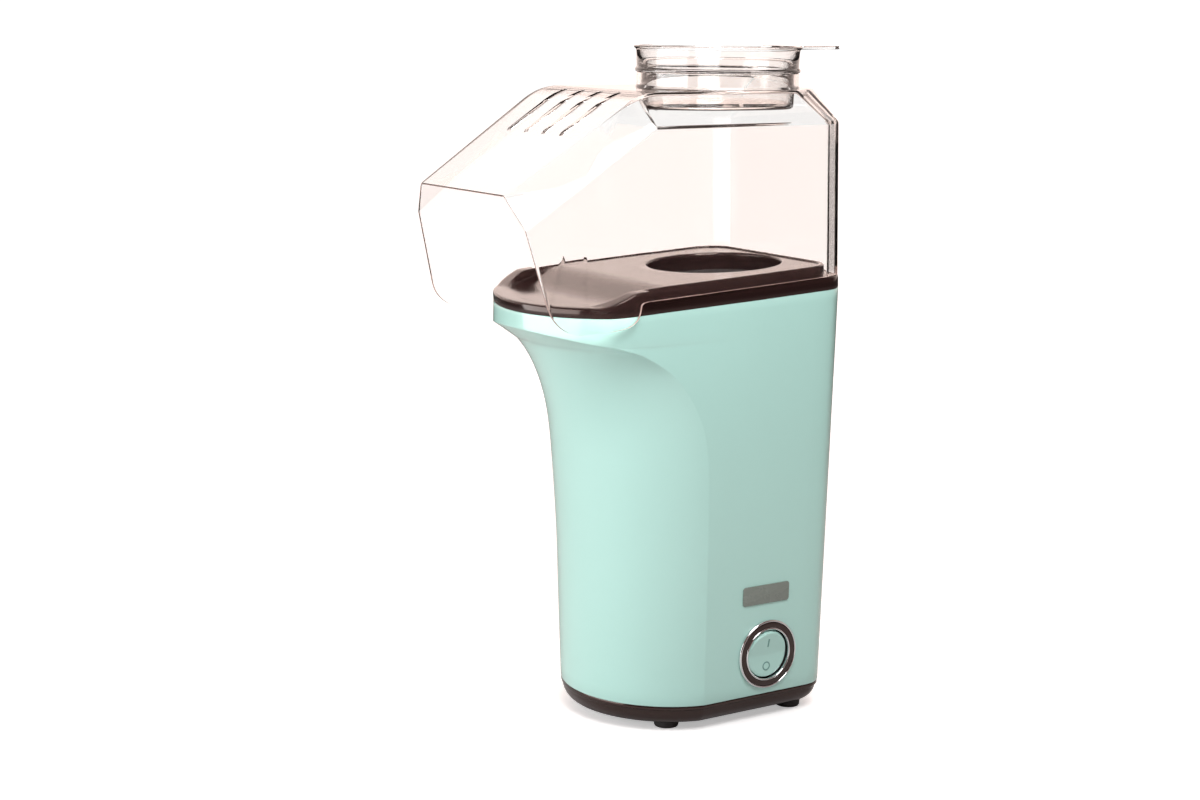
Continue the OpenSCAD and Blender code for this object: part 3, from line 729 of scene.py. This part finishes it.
def make_cover():
    cover = hull_solid("clear_chute_cover", cover_corners(0.0), 3.2)
    neck = lathe("neck", [(0, 310), (NECK_R + 0.9, COVER_Z - 1.2), (NECK_R + 0.35, COVER_Z + 0.25),
                          (NECK_R, COVER_Z + 1.0), (NECK_R, NECK_Z - 0.5), (NECK_R - 0.15, NECK_Z - 0.12),
                          (NECK_R - 0.5, NECK_Z), (0, NECK_Z)], closed=False, segments=128)
    combine(cover, neck, "UNION")
    combine(cover, hull_solid("hollow", cover_corners(CLEAR_WALL), 2.4))
    bore = lathe("bore", [(0, 300), (NECK_R - CLEAR_WALL, 300), (NECK_R - CLEAR_WALL, 335), (0, 335)],
                 closed=False, segments=128)
    combine(cover, bore)
    combine(cover, prism("side", cover_side(), -70, 70, along="x"), "INTERSECT")
    for x in SLOTS_X:
        slot = prism("slot", rounded_bar(*SLOT_SIZE), 290, 330, matrix=Matrix.Translation((x, SLOT_Y, 0)))
        combine(cover, slot)
    tidy_mesh(cover, 0.00002)
    finish_piece(cover, "cover", MATERIALS["clear_plastic"], ["clear_cover"], 20,
                 flat_faces=True)
    # The trimmed rim faces get the brownish plastic: painted shade along the cover's cut rim.
    cover.data.materials.append(MATERIALS["clear_rim_painted_shade"])
    for face in cover.data.polygons:
        if on_cut_line(face.center, face.normal):
            face.material_index = 1
    return cover


def on_cut_line(center, normal):
    """True for a face of the cover's trimmed rim, which runs along its side outline."""
    if abs(normal.x) > 0.5:
        return False
    spot = np.array([center.y - AXIS_Y, center.z]) / MM
    outline = np.array(cover_side(), float)
    for a, b in zip(outline, np.roll(outline, -1, 0)):
        t = np.clip((spot - a) @ (b - a) / ((b - a) @ (b - a)), 0, 1)
        if np.linalg.norm(a + (b - a) * t - spot) < 0.06:
            return True
    return False


def tab_outline():
    """Outline of the cup's tab as (x, y), rounded at its free end."""
    end = BACK_Y
    right = smooth_path([(17, 36), (13.2, 44), (11.2, 52), (10.4, 60), (10.0, end - 9), (8.8, end - 4),
                         (5.6, end - 1.1), (0, end)], 6)
    return [tuple(p) for p in right] + [(-x, y) for x, y in reversed(right[:-1])]


def make_cup():
    profile = [(0, 309.0), (36.4, 309.0), (37.7, 309.5), (38.15, 310.8), (38.9, 326.9), (39.2, 327.1),
               (41.6, 327.1), (42.0, 327.5), (42.0, 328.4), (41.7, 328.8), (41.3, 329.2), (41.2, 330.0),
               (41.5, 337.4), (41.8, 338.4), (42.3, 338.7), (42.6, 339.0), (42.7, 339.4), (42.5, 339.85),
               (42.2, CUP_TOP), (40.5, CUP_TOP), (40.1, 339.8), (39.9, 339.3), (39.7, 329.4), (39.3, 328.5),
               (37.6, 327.6), (37.3, 326.8), (36.6, 312.2), (36.0, 310.9), (34.8, 310.6), (0, 310.6)]
    cup = lathe("measuring_cup_clear", profile, segments=128, closed=False)
    tab = prism("tab", tab_outline(), 338.3, CUP_TOP - 0.05)
    core = lathe("core", [(0, 330), (41.0, 330), (41.0, 350), (0, 350)], segments=128, closed=False)
    combine(tab, core)
    bevel(tab, 0.5, 2, angle=50)
    combine(cup, tab, "UNION")
    return finish_piece(cup, "cup", MATERIALS["clear_plastic"], ["measuring_cup"], 30)


# ---------------------------------------------------------------- switch and badge

def make_switch():
    here = side_frame(SWITCH_Y, SWITCH_Z)
    surround = rounded([(13.9, 0.05), (13.9, 1.5), (16.8, 1.3), (16.8, 0.05), (16.1, 0.05), (16.1, -3),
                        (14.9, -3), (14.9, 0.05)], 0.25)
    outer = rounded([(16.85, 0.05), (16.85, 1.5), (17.3, 1.8), (17.9, 1.2), (17.9, 0.05)], 0.3)
    inner = rounded([(12.9, 0.4), (12.9, 1.6), (13.3, 2), (13.85, 1.6), (13.85, 0.4)], 0.2)
    for name, profile, finish, node in (
            ("switch_surround", surround, "cocoa_plastic", "switch_bezel"),
            ("outer_trim_ring", outer, "bright_chrome", "bezel_outer_ring"),
            ("inner_trim_ring", inner, "bright_chrome", "bezel_inner_ring")):
        finish_piece(lathe(name, profile, here, 128), "base", MATERIALS[finish], [node])


def rocker_height(x):
    """Height of the rocker's dished face above its pivot; x runs from the I end to the O end."""
    valley = math.sqrt(x * x + 1.2) - 1.1
    return 4.2 + valley * math.tan(ROCKER_TILT)


def make_rocker():
    here = (side_frame(SWITCH_Y, SWITCH_Z) @ Matrix.Translation((0, 0, ROCKER_PIVOT))
            @ Matrix.Rotation(ROCKER_TILT, 4, "Y"))
    segments = 96
    turns = np.linspace(0, 2 * math.pi, segments, endpoint=False)
    rings = []
    for r in (0.05, 1.5, 3, 4.5, 6, 7.5, 9, 10.2, 11.0, 11.4):
        rings.append([(r * math.cos(t), r * math.sin(t), rocker_height(r * math.cos(t))) for t in turns])
    for r, drop in ((11.7, 0.08), (11.9, 0.25), (12.02, 0.55)):
        rings.append([(r * math.cos(t), r * math.sin(t), rocker_height(r * math.cos(t)) - drop)
                      for t in turns])
    for z in (3.2, 2.0, 0.5, -1.0, -3.0, -4.9):
        r = math.sqrt(ROCKER_BALL**2 - z * z) - 0.15
        rings.append([(r * math.cos(t), r * math.sin(t), z) for t in turns])
    faces = grid_faces(len(rings), segments, False)
    last = (len(rings) - 1) * segments
    faces += [tuple(reversed(range(segments))), tuple(range(last, last + segments))]
    rocker = make_object("rocker_cap", np.concatenate(rings), faces, here)
    pins = prism("pins", [(1.3 * math.cos(t), 1.3 * math.sin(t)) for t in turns[::2]], -14.5, 14.5,
                 matrix=here @ Matrix.Rotation(math.pi / 2, 4, "X"))
    combine(rocker, pins, "UNION")
    finish_piece(rocker, "rocker", MATERIALS["mint_plastic"], ["rocker_button"], 35)

    def on_face(x):
        slope = ROCKER_TILT * (1 if x > 0 else -1)
        return here @ Matrix.Translation((x, 0, rocker_height(x))) @ Matrix.Rotation(-slope, 4, "Y")

    bar = prism("on_mark", rounded_bar(0.75, 4.6), -0.2, 0.14,
                matrix=on_face(-6.4) @ Matrix.Rotation(math.pi / 2, 4, "Z"))
    loop = lathe("off_mark", rounded([(1.65, -0.2), (1.65, 0.14), (2.35, 0.14), (2.35, -0.2)], 0.1, 2),
                 on_face(6.2), 48)
    for mark in (bar, loop):
        finish_piece(mark, "rocker", MATERIALS["mark_grey"])


def rounded_rectangle(width, length, radius, steps=6):
    corners = ((1, 1, 0), (-1, 1, 90), (-1, -1, 180), (1, -1, 270))
    out = []
    for sx, sy, start in corners:
        for t in np.radians(np.linspace(start, start + 90, steps + 1)):
            out.append((sx * (width / 2 - radius) + radius * math.cos(t),
                        sy * (length / 2 - radius) + radius * math.sin(t)))
    return out


def make_badge():
    badge = prism("side_badge", rounded_rectangle(9.8, 29.0, 1.5), 0.03, 0.72,
                  matrix=side_frame(BADGE_Y, BADGE_Z))
    bevel(badge, 0.25, 3, angle=50)
    finish_piece(badge, "base", MATERIALS["badge_grey"], ["badge_plate"])


def dress_cad_nodes():
    """Every node that still shows its own mesh gets its slot's material."""
    slots = {part["node"]: part["material_slot"] for part in frame["record"]["subparts"]}
    for name, obj in frame["nodes"].items():
        obj.data.materials.clear()
        obj.data.materials.append(MATERIALS[slots[name]])


# ---------------------------------------------------------------- studio

CAMERA_AT, CAMERA_TURN = (879.25, -646.43, 359.07), (56.72, 9.54, 0.66)
CAMERA_LENS, CAMERA_SHIFT = 63.87, -0.03

# Bounced and mirrored light comes from a dim warm room that brightens towards GLOW_FROM
GLOW_FROM = (-0.85, 0.45, 0.25)
ROOM_DARK, ROOM_BRIGHT = (0.14, 0.085, 0.075, 1), (1.45, 1.2, 1.1, 1)

# The floor near and far: distances from the middle, then the values there
GLOW_REACH, FLOOR_GLOW = (0.35, 0.9), (0.42, 0.68)
# Bounced and mirrored rays see the floor in a darker grey that fades with distance: painted shade.
BOUNCE_REACH, FLOOR_BOUNCE = (0.5, 1.3), (0.55, 0.10)

# Name, place, target, size and power
LAMPS = [
    ("key", (-0.20, -0.74, 0.22), (0, 0, 0.14), (0.78, 0.44), 4.8),
    ("side", (0.36, -0.10, 0.54), (0.05, 0, 0.16), (0.3, 0.3), 2.65),
    ("top", (0.0, 0.0, 1.7), (0, 0, 0.1), (1.2, 1.2), 3.2),
]


def make_camera():
    azimuth, pitch, roll = (math.radians(turn) for turn in CAMERA_TURN)
    ahead = Vector((-math.sin(azimuth) * math.cos(pitch), math.cos(azimuth) * math.cos(pitch),
                    -math.sin(pitch)))
    right = Vector((math.cos(azimuth), math.sin(azimuth), 0))
    upward = right.cross(ahead)
    side = right * math.cos(roll) + upward * math.sin(roll)
    head = upward * math.cos(roll) - right * math.sin(roll)
    data = bpy.data.cameras.new("camera")
    data.sensor_width = 36.0
    data.lens = CAMERA_LENS
    data.shift_y = CAMERA_SHIFT
    data.clip_end = 50
    camera = bpy.data.objects.new("camera", data)
    bpy.context.scene.collection.objects.link(camera)
    camera.matrix_world = (Matrix.Translation(Vector(place([CAMERA_AT])[0]))
                           @ Matrix((side, head, -ahead)).transposed().to_4x4())
    bpy.context.scene.camera = camera


def area_light(name, position, target, size, power, color=(1, 1, 1)):
    data = bpy.data.lights.new(name, "AREA")
    data.shape, data.size, data.size_y = "RECTANGLE", size[0], size[1]
    data.energy, data.color = power, color
    light = bpy.data.objects.new(name, data)
    bpy.context.scene.collection.objects.link(light)
    light.location = position
    light.rotation_euler = (Vector(target) - Vector(position)).to_track_quat("-Z", "Y").to_euler()


def seen_straight(tree):
    """1 for what the camera sees, directly or through clear plastic; 0 for bounced or mirrored light."""
    rays = tree.nodes.new("ShaderNodeLightPath")
    seen = add_node(tree, "ShaderNodeMath", operation="MAXIMUM")
    unmirrored = add_node(tree, "ShaderNodeMath", operation="LESS_THAN")
    unmirrored.inputs[1].default_value = 0.5
    both = add_node(tree, "ShaderNodeMath", operation="MULTIPLY")
    tree.links.new(rays.outputs["Is Camera Ray"], seen.inputs[0])
    tree.links.new(rays.outputs["Is Transmission Ray"], seen.inputs[1])
    tree.links.new(rays.outputs["Glossy Depth"], unmirrored.inputs[0])
    tree.links.new(seen.outputs[0], both.inputs[0])
    tree.links.new(unmirrored.outputs[0], both.inputs[1])
    return both.outputs[0]


def make_studio():
    world = bpy.data.worlds.new("studio")
    world.use_nodes = True
    tree = world.node_tree
    backdrop = tree.nodes["Background"]
    backdrop.inputs["Color"].default_value = (1.1, 1.1, 1.1, 1)
    room = tree.nodes.new("ShaderNodeBackground")
    shade = add_node(tree, "ShaderNodeMix", data_type="RGBA")
    shade.inputs[6].default_value, shade.inputs[7].default_value = ROOM_DARK, ROOM_BRIGHT
    facing = add_node(tree, "ShaderNodeTexCoord")
    towards = add_node(tree, "ShaderNodeVectorMath", operation="DOT_PRODUCT")
    towards.inputs[1].default_value = Vector(GLOW_FROM).normalized()
    glow = add_node(tree, "ShaderNodeMapRange", From_Min=0.1, From_Max=0.95)
    blend = tree.nodes.new("ShaderNodeMixShader")
    tree.links.new(facing.outputs["Generated"], towards.inputs[0])
    tree.links.new(towards.outputs["Value"], glow.inputs["Value"])
    tree.links.new(glow.outputs["Result"], shade.inputs["Factor"])
    tree.links.new(shade.outputs[2], room.inputs["Color"])
    tree.links.new(seen_straight(tree), blend.inputs["Fac"])
    tree.links.new(room.outputs[0], blend.inputs[1])
    tree.links.new(backdrop.outputs[0], blend.inputs[2])
    tree.links.new(blend.outputs[0], tree.nodes["World Output"].inputs["Surface"])
    bpy.context.scene.world = world
    bpy.context.scene.view_settings.view_transform = "Standard"
    mesh = bpy.data.meshes.new("floor")
    mesh.from_pydata([(-6, -6, 0), (6, -6, 0), (6, 6, 0), (-6, 6, 0)], [], [(0, 1, 2, 3)])
    floor = bpy.data.objects.new("floor", mesh)
    bpy.context.scene.collection.objects.link(floor)
    paper = bpy.data.materials.new("floor_paper")
    paper.use_nodes = True
    tree = paper.node_tree
    lit = tree.nodes["Principled BSDF"]
    lit.inputs["Base Color"].default_value = (0.95, 0.95, 0.95, 1)
    lit.inputs["Roughness"].default_value = 0.6
    lit.inputs["Emission Color"].default_value = (1, 1, 1, 1)
    # Painted shade: the floor's copy for bounced and mirrored rays is a darker grey that falls off away from
    # the middle, in place of the white paper.
    dull = tree.nodes.new("ShaderNodeBsdfDiffuse")
    spot = add_node(tree, "ShaderNodeTexCoord")
    far = add_node(tree, "ShaderNodeVectorMath", operation="LENGTH")
    fade = add_node(tree, "ShaderNodeMapRange", From_Min=BOUNCE_REACH[0], From_Max=BOUNCE_REACH[1],
                    To_Min=FLOOR_BOUNCE[0], To_Max=FLOOR_BOUNCE[1])
    brighten = add_node(tree, "ShaderNodeMapRange", From_Min=GLOW_REACH[0], From_Max=GLOW_REACH[1],
                        To_Min=FLOOR_GLOW[0], To_Max=FLOOR_GLOW[1])
    tree.links.new(spot.outputs["Object"], far.inputs[0])
    tree.links.new(far.outputs["Value"], fade.inputs["Value"])
    tree.links.new(far.outputs["Value"], brighten.inputs["Value"])
    tree.links.new(brighten.outputs["Result"], lit.inputs["Emission Strength"])
    tree.links.new(fade.outputs["Result"], dull.inputs["Color"])
    blend = tree.nodes.new("ShaderNodeMixShader")
    tree.links.new(seen_straight(tree), blend.inputs["Fac"])
    tree.links.new(dull.outputs[0], blend.inputs[1])
    tree.links.new(lit.outputs[0], blend.inputs[2])
    tree.links.new(blend.outputs[0], tree.nodes["Material Output"].inputs["Surface"])
    mesh.materials.append(paper)
    for name, position, target, size, power in LAMPS:
        area_light(name, position, target, size, power)


make_camera()
dress_cad_nodes()
make_body()
make_collar()
make_pan()
make_feet()
make_cover()
make_cup()
make_switch()
make_rocker()
make_badge()
make_studio()
